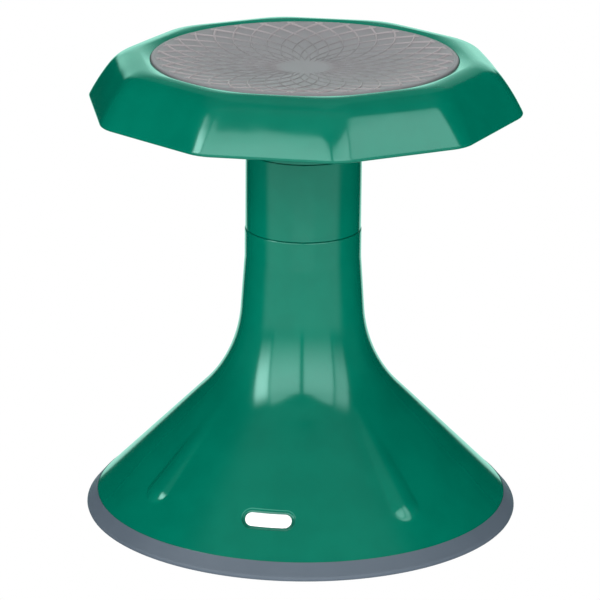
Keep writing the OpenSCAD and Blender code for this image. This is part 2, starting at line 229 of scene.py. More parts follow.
def smoothstep(lo, hi, x):
    """A smooth rise from 0 at lo to 1 at hi."""
    t = np.clip((x - lo) / (hi - lo), 0, 1)
    return t * t * (3 - 2 * t)


# ------------------------------------------------------------ node helpers
class Nodes:
    """Short calls for building a node tree."""

    def __init__(self, tree):
        self.tree = tree
        self.tree.nodes.clear()

    def add(self, kind, inputs=None, **settings):
        node = self.tree.nodes.new(kind)
        for key, value in settings.items():
            setattr(node, key, value)
        for key, value in (inputs or {}).items():
            self.set(node, key, value)
        return node

    def set(self, node, key, value):
        if isinstance(value, bpy.types.NodeSocket):
            self.tree.links.new(value, node.inputs[key])
        else:
            node.inputs[key].default_value = value

    def math(self, operation, a, b=0.0, c=0.0):
        node = self.add("ShaderNodeMath", operation=operation)
        for i, value in enumerate((a, b, c)):
            self.set(node, i, value)
        return node.outputs[0]

    def step(self, value, lo, hi, out_lo=0.0, out_hi=1.0):
        """A smooth step of a value from lo to hi."""
        node = self.add("ShaderNodeMapRange", interpolation_type="SMOOTHSTEP")
        for i, v in enumerate((value, lo, hi, out_lo, out_hi)):
            self.set(node, i, v)
        return node.outputs[0]

    def window(self, value, lo, hi, soft):
        """One between lo and hi, with soft edges."""
        rise = self.step(value, lo - soft, lo + soft)
        fall = self.step(value, hi - soft, hi + soft, 1.0, 0.0)
        return self.math("MULTIPLY", rise, fall)

    def noise(self, scale, detail, rough, vector):
        inputs = {"Vector": vector, "Scale": scale, "Detail": detail, "Roughness": rough}
        return self.add("ShaderNodeTexNoise", inputs).outputs["Fac"]

    def mix(self, factor, a, b):
        node = self.add("ShaderNodeMix", data_type="RGBA")
        self.set(node, 0, factor)
        self.set(node, 6, a)
        self.set(node, 7, b)
        return node.outputs[2]

    def bump(self, height, distance, strength, normal=None):
        inputs = {"Height": height, "Distance": distance, "Strength": strength}
        if normal is not None:
            inputs["Normal"] = normal
        return self.add("ShaderNodeBump", inputs).outputs["Normal"]


def material(name):
    """A new material with an empty node tree."""
    mat = bpy.data.materials.new(name)
    mat.use_nodes = True
    return mat, Nodes(mat.node_tree)


def finish_material(n, **inputs):
    """Ends a tree with a principled surface."""
    shader = n.add("ShaderNodeBsdfPrincipled")
    for key, value in inputs.items():
        n.set(shader, key.replace("_", " "), value)
    out = n.add("ShaderNodeOutputMaterial")
    n.tree.links.new(shader.outputs[0], out.inputs[0])


# ------------------------------------------------------------ materials
def green_plastic():
    """Glossy moulded polypropylene: faint mottling, fine scuffs and a little waviness."""
    mat, n = material("green_polypropylene")
    coords = n.add("ShaderNodeTexCoord").outputs["Object"]
    mottle = n.noise(38.0, 3.0, 0.55, coords)
    base = n.mix(n.step(mottle, 0.3, 0.7), (0.0, 0.114, 0.072, 1), (0.0, 0.125, 0.079, 1))
    stretched = n.add("ShaderNodeMapping", {"Vector": coords, "Scale": (1.0, 1.0, 9.0)}).outputs[0]
    scuffs = n.step(n.noise(260.0, 2.0, 0.7, stretched), 0.63, 0.72)
    patches = n.step(n.noise(14.0, 2.0, 0.5, coords), 0.52, 0.68)
    worn = n.math("MULTIPLY", scuffs, patches)
    edges = n.step(n.add("ShaderNodeNewGeometry").outputs["Pointiness"], 0.52, 0.6)
    colour = n.mix(n.math("MULTIPLY", edges, 0.25), base, (0.01, 0.17, 0.115, 1))
    rough = n.math("MULTIPLY_ADD", mottle, 0.05, 0.105)
    rough = n.math("MULTIPLY_ADD", worn, 0.14, rough)
    grain = n.bump(n.noise(900.0, 2.0, 0.5, coords), 0.00002, 0.3)
    wave = n.bump(n.noise(26.0, 1.0, 0.4, coords), 0.0004, 0.25, grain)
    finish_material(n, Base_Color=colour, Roughness=rough, IOR=1.5, Specular_IOR_Level=0.9,
                    Specular_Tint=(0.56, 1.0, 0.9, 1), Normal=wave)
    return mat


def rim_rubber():
    """Satin thermoplastic rubber with a fine grain and dusty mottling."""
    mat, n = material("rim_rubber")
    coords = n.add("ShaderNodeTexCoord").outputs["Object"]
    dust = n.noise(30.0, 4.0, 0.6, coords)
    colour = n.mix(dust, (0.056, 0.075, 0.097, 1), (0.074, 0.096, 0.121, 1))
    rough = n.math("MULTIPLY_ADD", dust, 0.14, 0.46)
    grain = n.bump(n.noise(1500.0, 2.0, 0.6, coords), 0.00005, 0.5)
    finish_material(n, Base_Color=colour, Roughness=rough, IOR=1.48, Normal=grain)
    return mat


def pad_rubber(name, tint, edge_highlight_tint=None):
    """Matte rubber skin with a fine cross-hatched grain; if asked, a painted highlight lightens it towards
    the pad's edge.
    """
    mat, n = material(name)
    coords = n.add("ShaderNodeTexCoord").outputs["Object"]
    mottle = n.noise(55.0, 4.0, 0.6, coords)
    light = tuple(c * 1.13 for c in tint) + (1,)
    dark = tuple(c * 0.9 for c in tint) + (1,)
    colour = n.mix(mottle, dark, light)
    # painted highlight: the colour turns lighter towards the pad's edge, standing in for the light that the
    # raised arcs catch there
    if edge_highlight_tint:
        flat = n.add("ShaderNodeVectorMath", {0: coords, 1: (1, 1, 0)}, operation="MULTIPLY").outputs[0]
        out = n.add("ShaderNodeVectorMath", {0: flat}, operation="LENGTH").outputs["Value"]
        colour = n.mix(n.step(out, 0.5 * PAD_R, 0.95 * PAD_R), colour, edge_highlight_tint + (1,))
    weave = n.add("ShaderNodeTexWave", {"Vector": coords, "Scale": 330.0, "Distortion": 1.5, "Detail": 1.0},
                  bands_direction="Y")
    pores = n.noise(1300.0, 2.0, 0.6, coords)
    height = n.math("ADD", n.math("MULTIPLY", weave.outputs["Fac"], 0.6), pores)
    rough = n.math("MULTIPLY_ADD", mottle, 0.16, 0.5)
    finish_material(n, Base_Color=colour, Roughness=rough, IOR=1.45, Normal=n.bump(height, 0.00008, 0.5))
    return mat


def nylon(name, dark, light, rough):
    """Satin moulded nylon."""
    mat, n = material(name)
    coords = n.add("ShaderNodeTexCoord").outputs["Object"]
    mottle = n.noise(90.0, 4.0, 0.6, coords)
    grain = n.bump(n.noise(1200.0, 2.0, 0.6, coords), 0.00004, 0.5)
    finish_material(n, Base_Color=n.mix(mottle, dark, light),
                    Roughness=n.math("MULTIPLY_ADD", mottle, 0.12, rough), Normal=grain)
    return mat


def screw_steel():
    """Zinc-plated steel with turned marks."""
    mat, n = material("screw_steel")
    coords = n.add("ShaderNodeTexCoord").outputs["Object"]
    flow = n.noise(700.0, 3.0, 0.6, coords)
    colour = n.mix(flow, (0.48, 0.49, 0.5, 1), (0.66, 0.67, 0.68, 1))
    finish_material(n, Base_Color=colour, Metallic=1.0, Roughness=n.math("MULTIPLY_ADD", flow, 0.2, 0.24),
                    Normal=n.bump(flow, 0.00003, 0.4))
    return mat


def badge_plastic():
    """Glossy white plate."""
    mat, n = material("badge_plastic")
    coords = n.add("ShaderNodeTexCoord").outputs["Object"]
    mottle = n.noise(220.0, 2.0, 0.5, coords)
    colour = n.mix(mottle, (0.86, 0.87, 0.87, 1), (0.92, 0.92, 0.92, 1))
    finish_material(n, Base_Color=colour, Roughness=n.math("MULTIPLY_ADD", mottle, 0.08, 0.2),
                    Normal=n.bump(mottle, 0.00002, 0.3))
    return mat


def foam():
    """Closed-cell foam."""
    mat, n = material("pad_foam")
    coords = n.add("ShaderNodeTexCoord").outputs["Object"]
    cells = n.add("ShaderNodeTexVoronoi", {"Vector": coords, "Scale": 900.0}).outputs["Distance"]
    colour = n.mix(cells, (0.42, 0.42, 0.4, 1), (0.6, 0.6, 0.57, 1))
    finish_material(n, Base_Color=colour, Roughness=0.95, Normal=n.bump(cells, 0.0002, 0.8))
    return mat


GREEN = green_plastic()
RIM = rim_rubber()
PAD = pad_rubber("pad_rubber", (0.166, 0.163, 0.172))
# the arcs carry a painted highlight, lighter towards the pad's edge where they catch the light
RIDGE = pad_rubber("ridge_rubber", (0.17, 0.165, 0.172), (0.27, 0.248, 0.255))
INSERT = nylon("insert_nylon", (0.018, 0.019, 0.021, 1), (0.032, 0.034, 0.036, 1), 0.38)
WASHER = nylon("washer_nylon", (0.55, 0.56, 0.53, 1), (0.68, 0.69, 0.66, 1), 0.34)
STEEL = screw_steel()
BADGE = badge_plastic()
FOAM = foam()


# ------------------------------------------------------------ the bell
def bell_line(inset):
    """(radius, height, outward normal) along the bell from neck to foot, moved inwards."""
    cx, cz = FLARE_AT
    away = math.hypot(cx - NECK_R, cz - BAND_Z)
    tilt = math.degrees(math.asin(FLARE_R / away)) + math.degrees(math.atan2(BAND_Z - cz, cx - NECK_R))
    taper = 90 - tilt
    points = arc((cx, cz), FLARE_R + inset, 180 + taper, 225, 48)
    band_foot = (NECK_R - inset, BAND_Z - inset * math.tan(math.radians(taper / 2)))
    foot_sum = BELL_FOOT_R + BELL_FOOT_Z - inset * math.sqrt(2)
    foot_z = BELL_FOOT_Z + (0 if inset == 0 else 0.2 * MM)
    line = [(NECK_R - inset, NECK_Z), band_foot] + points + [(foot_sum - foot_z, foot_z)]
    line = resample(line, 1.3 * MM)
    out = []
    for i, (r, z) in enumerate(line):
        ahead = line[min(i + 1, len(line) - 1)]
        behind = line[max(i - 1, 0)]
        d = Vector((ahead[0] - behind[0], ahead[1] - behind[1])).normalized()
        out.append((r, z, -d.y, d.x))
    return out


def swell_height(r, angle):
    """How far a swell raises the cone at a radius and an angle in radians."""
    pitch = TAU / SWELL_COUNT
    off = (angle - math.radians(SWELL_ANGLE) + pitch / 2) % pitch - pitch / 2
    across = r * np.sin(off)
    along = (r * np.cos(off) - SWELL_START_R) * math.sqrt(2)
    grow = np.clip(along / SWELL_LENGTH, 0, 1)
    body_r = SWELL_LIFT + (SWELL_END_R - SWELL_LIFT) * grow
    past = along - np.clip(along, 0, SWELL_LENGTH)
    raw = np.sqrt(np.maximum(body_r ** 2 - across ** 2 - past ** 2, 0)) - SWELL_LIFT
    return 0.5 * (raw + np.sqrt(raw ** 2 + SWELL_SOFT ** 2))


def bell_angles():
    """Columns round the bell, closer together over the swells, and the badge's gap in them."""
    half, swell_step, badge_step, plain_step = 7.5, 0.25, 0.55, 1.25
    stops = []
    for k in range(SWELL_COUNT):
        mid = SWELL_ANGLE + 360 / SWELL_COUNT * k
        stops.append((mid - half, mid + half, swell_step))
    gap = math.degrees(math.asin((BADGE_L / 2 + 6 * MM) / BADGE_AT_R))
    badge = (BADGE_ANGLE % 360 - gap, BADGE_ANGLE % 360 + gap)
    stops.append((*badge, badge_step))
    stops.sort()
    angles = []
    for i, (lo, hi, step) in enumerate(stops):
        steps = round((hi - lo) / step)
        angles += [lo + (hi - lo) * k / steps for k in range(steps)]
        nxt = stops[(i + 1) % len(stops)][0] + (360 if i == len(stops) - 1 else 0)
        steps = round((nxt - hi) / plain_step)
        angles += [hi + (nxt - hi) * k / steps for k in range(steps)]
    return np.radians(np.array(angles)), np.radians(badge)


def cone_point(angle, along, out):
    """A point near the badge: along is up the slope from the badge's middle, out is away from it."""
    r = BADGE_AT_R - along / math.sqrt(2) + out / math.sqrt(2)
    z = BELL_FOOT_R + BELL_FOOT_Z - BADGE_AT_R + along / math.sqrt(2) + out / math.sqrt(2)
    return (r * math.cos(angle), r * math.sin(angle), z)


def stadium_ring(feet, radius, half):
    """Points of a rounded bar of that radius, nearest to a list of (across, along) points."""
    out = []
    for u, v in feet:
        m = min(max(u, -half), half)
        d = math.hypot(u - m, v)
        out.append((m + (u - m) / d * radius, v / d * radius))
    return out


def badge_pocket(border):
    """Rings of points from the border of the gap to the pocket's floor."""
    mid = math.radians(BADGE_ANGLE % 360)
    feet = [((a - mid) * (BADGE_AT_R - s / math.sqrt(2)), s) for a, s in border]
    half = (BADGE_L - BADGE_H) / 2
    edge = BADGE_H / 2 + BADGE_MARGIN
    lip = 0.9 * MM
    depth = 2.0 * MM
    bends = np.radians(np.linspace(0, 75, 6))
    profile = [(edge + lip * (1 - math.sin(t)), -lip * (1 - math.cos(t))) for t in bends]
    profile += [(edge - 0.05 * MM, -depth * 0.6), (edge - 0.15 * MM, -depth + 0.25 * MM)]
    profile += [(edge - 0.5 * MM, -depth), (edge * 0.6, -depth), (edge * 0.2, -depth)]
    rings = []
    outer = stadium_ring(feet, profile[0][0], half)
    for t in (0.35, 0.7, 0.9):
        between = zip(feet, outer)
        rings.append([((1 - t) * f[0] + t * o[0], (1 - t) * f[1] + t * o[1], 0.0) for f, o in between])
    for radius, out in profile:
        rings.append([(u, v, out) for u, v in stadium_ring(feet, radius, half)])
    turned = []
    for ring in rings:
        turned.append([cone_point(mid + u / (BADGE_AT_R - v / math.sqrt(2)), v, out) for u, v, out in ring])
    return turned


def build_bell():
    """Outer and inner wall of the bell, with its swells and the badge's pocket."""
    angles, badge = bell_angles()
    columns = len(angles)
    outer = bell_line(0)
    inner = bell_line(BELL_WALL)
    edge = 0.9 * MM
    top = [(NECK_R - edge + edge * math.cos(t), NECK_Z - edge + edge * math.sin(t))
           for t in np.radians((90, 60, 30))]
    rings = [circle(r, z, angles) for r, z in top]
    slope_rings = []
    for r, z, nr, nz in outer:
        if z > NECK_Z - edge * 0.99:
            continue
        near = r > SWELL_START_R - 12 * MM
        rise = swell_height(r, angles) if near else np.zeros(columns)
        radii = r + nr * rise
        heights = z + nz * rise
        slope_rings.append((len(rings), (BADGE_AT_R - r) * math.sqrt(2)))
        rings.append(list(zip(radii * np.cos(angles), radii * np.sin(angles), heights)))
    foot = 0.7 * MM
    r, z = outer[-1][:2]
    step = 0.1 * MM
    rings.insert(-1, circle(r - step, z + step, angles))
    for dr, dz in ((0.05, -0.45), (-0.35, -0.7)):
        rings.append(circle(r + dr * foot, z + dz * foot, angles))
    for i, (r, z, nr, nz) in enumerate(inner[::-1]):
        if i % 4 and i < len(inner) - 3:
            continue
        near = r > SWELL_START_R - 15 * MM
        rise = swell_height(r + nr * BELL_WALL, angles) if near else np.zeros(columns)
        radii = r + nr * rise
        heights = z + nz * rise
        rings.append(list(zip(radii * np.cos(angles), radii * np.sin(angles), heights)))
    rings.append(circle(inner[0][0] + 0.4 * MM, NECK_Z, angles))
    verts, faces = loft(rings, closed=True)
    # the gap for the badge
    half_h = BADGE_H / 2 + BADGE_MARGIN + 4 * MM
    inside = [(i, s) for i, s in slope_rings if abs(s) <= half_h]
    first, last = inside[0][0], inside[-1][0]
    cols = [j for j, a in enumerate(angles) if badge[0] - 1e-6 <= a % TAU <= badge[1] + 1e-6]
    left, right = cols[0], cols[-1]
    gap_rows, gap_cols = set(range(first, last)), set(range(left, right))
    faces = [f for k, f in enumerate(faces) if not (k // columns in gap_rows and k % columns in gap_cols)]
    slopes = dict(slope_rings)
    loop = [(last, j) for j in range(left, right)] + [(i, right) for i in range(last, first, -1)]
    loop += [(first, j) for j in range(right, left, -1)] + [(i, left) for i in range(first, last)]
    border = [(angles[j] % TAU, slopes[i]) for i, j in loop]
    pocket = badge_pocket(border)
    count = len(loop)
    previous = [i * columns + j for i, j in loop]
    for ring in pocket:
        start = len(verts)
        verts += ring
        current = list(range(start, start + count))
        faces += [(previous[k], current[k], current[(k + 1) % count], previous[(k + 1) % count])
                  for k in range(count)]
        previous = current
    faces.append(tuple(previous)[::-1])
    bell = new_object("bell_skin", verts, faces, "base", GREEN)
    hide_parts("base_bell")


def build_badge():
    """White plate that follows the cone, with a rounded edge and a slightly crowned face."""
    mid = math.radians(BADGE_ANGLE % 360)
    half = (BADGE_L - BADGE_H) / 2
    feet = []
    for side in (1, -1):
        feet += [(side * half * (1 - 2 * k / 24), side * BADGE_H / 2) for k in range(24)]
        feet += [(-side * half - side * BADGE_H / 2 * math.sin(t), side * BADGE_H / 2 * math.cos(t))
                 for t in np.linspace(0, math.pi, 24, endpoint=False)]
    full = BADGE_H / 2
    profile = [(full * 0.5, -1.95), (full - 0.3 * MM, -1.95), (full, -1.7), (full, -1.1),
               (full - 0.12 * MM, -0.86), (full - 0.4 * MM, -0.72), (full * 0.8, -0.66),
               (full * 0.45, -0.6), (full * 0.1, -0.58)]
    rings = []
    for radius, out in profile:
        ring = stadium_ring(feet, radius, half)
        rings.append([cone_point(mid + u / (BADGE_AT_R - v / math.sqrt(2)), v, out * MM) for u, v in ring])
    verts, faces = loft(rings, closed=False, cap_first=True, cap_last=True)
    badge = new_object("badge_plate", verts, faces, "base", BADGE)
    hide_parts("badge")


def shelf_ring(outer_r, z):
    """The ledge that a socket is screwed to."""
    corners = [(outer_r, z), (outer_r, z + SHELF_T), (INSERT_BORE_R, z + SHELF_T), (INSERT_BORE_R, z)]
    return revolve(rounded(corners, 0.6 * MM))


def build_bell_inside():
    """Shelf, skirt and screw bosses inside the bell."""
    skirt_r, skirt_in_r, skirt_lo = 155.9 * MM, 152.2 * MM, 21.5 * MM
    skirt = [(skirt_r, skirt_lo), (skirt_r, 33.5 * MM), (skirt_in_r, 35 * MM), (skirt_in_r, skirt_lo)]
    parts = [shelf_ring(44 * MM, SOCKET_LO.z - SHELF_T - 0.2 * MM), revolve(rounded(skirt, 0.5 * MM))]
    bosses, boss_at = 8, 130 * MM
    profile = ((2.1, 21), (4.9, 21), (5.2, 21.5), (5.2, 54), (4.0, 54.4), (2.1, 54.4))
    for k in range(bosses):
        angle = math.radians(SWELL_ANGLE + 360 / bosses * (k + 0.5))
        parts.append(post(boss_at, angle, profile, 28, closed=True))
    verts, faces = merge(parts)
    new_object("bell_shelf_skirt", verts, faces, "base", GREEN)


# ------------------------------------------------------------ the column and its threads
def build_column():
    """Column tube with eased edges and the two webs that the spigots are screwed to."""
    inner, web_r = TUBE_R - 4 * MM, 24 * MM
    web_lo = BARREL_HI.z + 0.2 * MM
    web_hi = web_lo + 4 * MM
    far_lo, far_hi = 2 * MID_Z - web_hi, 2 * MID_Z - web_lo
    lo, hi = TUBE_LO.z, TUBE_HI.z
    corners = [(TUBE_R, lo), (TUBE_R, hi), (inner, hi), (inner, far_hi), (web_r, far_hi), (web_r, far_lo),
               (inner, far_lo), (inner, web_hi), (web_r, web_hi), (web_r, web_lo), (inner, web_lo),
               (inner, lo)]
    verts, faces = revolve(rounded(corners, 0.8 * MM), 256)
    tube = new_object("column_skin", verts, faces, "column", GREEN)
    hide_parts("column_tube")


def thread(root, crest, start_z):
    """Helical ridge with a rounded trapezoid section and faded ends."""
    per_turn = 96
    steps = THREAD_TURNS * per_turn
    half = [(0.0, 1.9), (0.55, 1.75), (0.95, 1.3), (1.0, 0.9)]
    section = [(t, -dz) for t, dz in half] + half[::-1]
    rings = []
    for i in range(steps + 1):
        a = TAU * i / per_turn
        fade = min(1.0, (i + 1) / 8, (steps + 1 - i) / 8)
        z = start_z + THREAD_LEAD * i / per_turn
        ring = []
        for t, dz in section:
            r = root + (crest - root) * t * math.sqrt(fade)
            ring.append((r * math.cos(a), r * math.sin(a), z + dz * MM * (0.55 + 0.45 * fade)))
        rings.append(ring)
    return loft(rings, closed=False, cap_first=True, cap_last=True)


def spigot_mesh():
    """Flanged barrel with a male thread, at the neck."""
    flange_z = BARREL_HI.z - 5.5 * MM
    bore = BARREL_R - 4.5 * MM
    flange_r = TUBE_R - 4.2 * MM
    corners = [(bore, BARREL_LO.z), (BARREL_R, BARREL_LO.z), (BARREL_R, flange_z), (flange_r, flange_z),
               (flange_r, BARREL_HI.z), (bore, BARREL_HI.z)]
    body = revolve(rounded(corners, 0.7 * MM))
    return merge([body, thread(BARREL_R - 0.6 * MM, BARREL_R + THREAD_H, THREAD_Z)])


def socket_mesh():
    """Ring with a female thread, at the neck."""
    bore = BARREL_R + THREAD_H + 0.4 * MM
    outer = SOCKET_HI.x
    corners = [(bore, SOCKET_LO.z), (outer, SOCKET_LO.z), (outer, SOCKET_HI.z), (bore, SOCKET_HI.z)]
    body = revolve(rounded(corners, 0.8 * MM))
    return merge([body, thread(bore + 0.6 * MM, bore - THREAD_H, THREAD_Z + THREAD_LEAD / 2)])


def build_threads():
    """The two spigots and the two sockets: each is built at the neck and turned over for the collar."""
    spigots = (("spigot_low", "lower_spigot", "column"), ("spigot_high", "upper_spigot", "column"))
    sockets = (("socket_neck", "neck_socket", "base"), ("socket_collar", "collar_socket", "seat"))
    for (verts, faces), names in ((spigot_mesh(), spigots), (socket_mesh(), sockets)):
        for points, (name, node, body) in zip((verts, flip_over(verts)), names):
            obj = new_object(name, points, faces, body, INSERT)
            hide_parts(node)


# ------------------------------------------------------------ the seat
def decagon_radius(a, corner, off):
    """Distance from the axis to a ten-sided outline of apothem a whose corners have that radius."""
    off = np.abs(off)
    flat_to = np.arctan((a - corner) * math.tan(math.pi / 10) / a)
    flat = a / np.cos(off)
    beta = math.pi / 10 - off
    centre = (a - corner) / math.cos(math.pi / 10)
    bend = centre * np.cos(beta) + np.sqrt(np.maximum(corner ** 2 - (centre * np.sin(beta)) ** 2, 0))
    return np.where(off < flat_to, flat, bend)


def seat_angles():
    """Columns round the seat, closer together over the corners."""
    share = np.linspace(-1, 1, 45)[:-1]
    crowding = 1.7
    offs = np.sign(share) * (1 - (1 - np.abs(share)) ** crowding) * math.pi / 10
    angles, within = [], []
    for k in range(10):
        mid = math.radians(SEAT_CORNER + 18 + 36 * k)
        angles += list(mid + offs)
        within += list(offs)
    return np.array(angles), np.array(within)


def seat_side():
    """(apothem, height, share of the way up) from the rolled foot over the crowned side and the soft top."""
    roll = 2 * MM
    low, high, top_r = math.radians(26), math.radians(36), 27 * MM
    centre = (SEAT_FOOT_A - roll, SEAT_FOOT_Z + roll)
    out = [(centre[0] + roll * math.cos(t), centre[1] + roll * math.sin(t), 0.0)
           for t in np.radians(np.linspace(-100, 26, 10))]
    rise = CREST_Z - out[-1][1] - top_r * (1 - math.sin(high))
    length = rise * (high - low) / (math.sin(high) - math.sin(low))
    steps, top_steps, top_share = 26, 24, 0.6
    a, z = out[-1][:2]
    for k in range(steps):
        angle = low + (high - low) * (k + 0.5) / steps
        a -= length / steps * math.sin(angle)
        z += length / steps * math.cos(angle)
        out.append((a, z, top_share * (k + 1) / steps))
    centre = (a - top_r * math.cos(high), z - top_r * math.sin(high))
    for k in range(1, top_steps + 1):
        t = k / top_steps
        angle = high + (math.pi / 2 - high) * t
        up = top_share + (1 - top_share) * t
        out.append((centre[0] + top_r * math.cos(angle), centre[1] + top_r * math.sin(angle), up))
    return out


def seat_outline():
    """(apothem, height, share of ten-sidedness, corner radius) round the seat's closed section."""
    out = []
    for a, z, up in seat_side():
        out.append((a, z, 1.0 - 0.06 * up ** 4, (32 + 12 * up) * MM))
    crest_a, crest_z = out[-1][:2]
    lip = 0.8 * MM
    for k in range(1, 13):
        t = k / 12
        a = crest_a + (LIP_R + lip - crest_a) * t
        drop = (crest_z - LIP_Z) * t ** 1.5
        out.append((a, crest_z - drop, 0.94 * (1 - t) ** 1.2, (44 + 36 * t) * MM))
    # lip, pocket wall, floor, well, collar and back outside underneath
    for t in np.radians((60, 30, 0)):
        out.append((LIP_R + lip - lip * math.cos(t), LIP_Z - lip + lip * math.sin(t), 0.0, 0.0))
    well_r = WELL_R - 0.8 * MM
    collar_lo = 2 * MID_Z - NECK_Z
    top = FLOOR_Z + FLOOR_T
    e = 0.9 * MM
    root_r = TUBE_R + 3 * MM
    plain = [(LIP_R, top + 1 * MM), (LIP_R - 1 * MM, top), (well_r + 0.5 * MM, top), (well_r, top - 0.5 * MM),
             (well_r, collar_lo + 0.4 * MM), (well_r + 0.4 * MM, collar_lo), (TUBE_R - e, collar_lo),
             (TUBE_R - 0.25 * e, collar_lo + 0.25 * e), (TUBE_R, collar_lo + e), (TUBE_R, FLOOR_Z - 3 * MM),
             (TUBE_R + 0.9 * MM, FLOOR_Z - 0.9 * MM), (root_r, FLOOR_Z)]
    plain = resample(plain, 14 * MM)
    out += [(r, z, 0.0, 0.0) for r, z in plain]
    inner_foot = SEAT_FOOT_A - 4.4 * MM
    inner_top = inner_foot - (FLOOR_Z - SEAT_FOOT_Z) * math.tan(math.radians(SIDE_SLOPE))
    for t in (0.25, 0.5, 0.75):
        out.append((root_r + (inner_top - 3 * MM - root_r) * t, FLOOR_Z, float(smoothstep(0, 1, t)), 10 * MM))
    inside = ((inner_top - 3 * MM, FLOOR_Z, 8), (inner_top - 0.8 * MM, FLOOR_Z - 0.9 * MM, 6),
              (inner_top + 1.2 * MM, FLOOR_Z - 3 * MM, 5), (inner_foot - 0.5 * MM, SEAT_FOOT_Z + 0.8 * MM, 5),
              (inner_foot + 0.3 * MM, SEAT_FOOT_Z + 0.1 * MM, 5))
    out += [(a, z, 1.0, corner * MM) for a, z, corner in inside]
    return out


def seat_wave(x, y, z):
    """Slow unevenness of the moulded sides, as a shift along the normal."""
    slow = noise.noise(Vector((x, y, z * 1.6)) * 26 + Vector((3.1, 7.7, 1.3)))
    fine = noise.noise(Vector((x, y, z * 2.2)) * 75 + Vector((9.4, 2.2, 5.9)))
    return (0.42 * slow + 0.04 * fine) * MM


def build_seat():
    """Ten-sided seat shell as one closed section, its sides slightly crowned and uneven."""
    angles, within = seat_angles()
    outline = seat_outline()
    rings = []
    side_last = len(seat_side())
    for i, (a, z, share, corner) in enumerate(outline):
        radii = np.full(len(angles), a)
        if share > 0:
            radii = (1 - share) * a + share * decagon_radius(a, max(corner, 1 * MM), within)
        if i < side_last:
            mid = math.sin(math.pi * min(1, i / (side_last - 1)))
            crown = 0.28 * MM * np.cos(within * 5) ** 2 * mid
            sway = [seat_wave(r * math.cos(t), r * math.sin(t), z) for r, t in zip(radii, angles)]
            radii = radii + crown + np.array(sway) * mid
        rings.append(list(zip(radii * np.cos(angles), radii * np.sin(angles), np.full(len(angles), z))))
    verts, faces = loft(rings, closed=True)
    seat = new_object("seat_skin", verts, faces, "seat", GREEN)
    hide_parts("seat_shell")


def plate(outline, thickness, angle):
    """An upright plate on a (radius, height) outline, standing at that angle."""
    half = thickness / 2
    c, s = math.cos(angle), math.sin(angle)
    rings = []
    for off in (-half, half):
        rings.append([(r * c - off * s, r * s + off * c, z) for r, z in outline])
    return loft(rings, closed=False, cap_first=True, cap_last=True)


def build_seat_ribs():
    """Ribs under the seat's corners, and the shelf that holds the collar's socket."""
    root = WELL_R + 0.2 * MM
    low, high = SEAT_FOOT_Z + 2.3 * MM, FLOOR_Z + 1 * MM
    outer_low = 160.5 * MM
    outer_high = outer_low - (FLOOR_Z - low) * math.tan(math.radians(SIDE_SLOPE))
    corners = [(root, low - 22 * MM), (78 * MM, low), (outer_low, low), (outer_high, high), (root, high)]
    outline = rounded(corners, 1.5 * MM, 4)
    parts = [shelf_ring(WELL_R, 2 * MID_Z - SOCKET_LO.z + 0.2 * MM)]
    for k in range(10):
        parts.append(plate(outline, 2.4 * MM, math.radians(SEAT_CORNER + 36 * k)))
    verts, faces = merge(parts)
    new_object("seat_ribs", verts, faces, "seat", GREEN)


# ------------------------------------------------------------ the pad
def pad_height(r):
    """Height of the pad's top surface at a radius, without its raised arcs."""
    edge = PAD_R - PAD_ROUND
    half = edge - 1 * MM
    dish_r = (half ** 2 + DISH_DEPTH ** 2) / (2 * DISH_DEPTH)
    z = PAD_HI.z - DISH_DEPTH + dish_r - np.sqrt(dish_r ** 2 - np.minimum(r, half) ** 2)
    blend = smoothstep(half - 5 * MM, half, np.asarray(r, float))
    z = z * (1 - blend) + np.minimum(z, PAD_HI.z) * blend
    out = np.clip(np.asarray(r, float) - edge, 0, PAD_ROUND)
    return z - (PAD_ROUND - np.sqrt(PAD_ROUND ** 2 - out ** 2))


def build_pad():
    """Dished rubber skin with a rolled edge and a faint bead near its border."""
    foot, inner_r = PAD_LO.z, PAD_R - PAD_WALL
    edge = PAD_R - PAD_ROUND
    bead_h, bead_at, bead_w = 0.16 * MM, 113.6 * MM, 0.5 * MM
    section = []
    for r in [*np.linspace(0.5 * MM, 104 * MM, 42), *np.linspace(105 * MM, edge, 30)]:
        bead = bead_h * math.exp(-((r - bead_at) / bead_w) ** 2)
        section.append((r, float(pad_height(r) + bead)))
    roll_z = float(pad_height(edge)) - PAD_ROUND
    section += [(edge + PAD_ROUND * math.sin(t), roll_z + PAD_ROUND * math.cos(t))
                for t in np.radians(np.linspace(9, 90, 10))]
    section += [(PAD_R, foot + 0.6 * MM), (PAD_R - 0.6 * MM, foot), (inner_r + 0.5 * MM, foot),
                (inner_r, foot + 0.5 * MM), (inner_r, float(pad_height(inner_r)) - PAD_SKIN_T - 1 * MM)]
    section += [(r, float(pad_height(r)) - PAD_SKIN_T)
                for r in [inner_r - 1 * MM, *np.linspace(100 * MM, 0.5 * MM, 12)]]
    angles = np.linspace(0, TAU, 224, endpoint=False)
    rings = [circle(r, z, angles) for r, z in section]
    verts, faces = loft(rings, closed=False, cap_first=True, cap_last=True)
    skin = new_object("pad_skin", verts, faces, "seat", PAD)
    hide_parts("seat_pad")


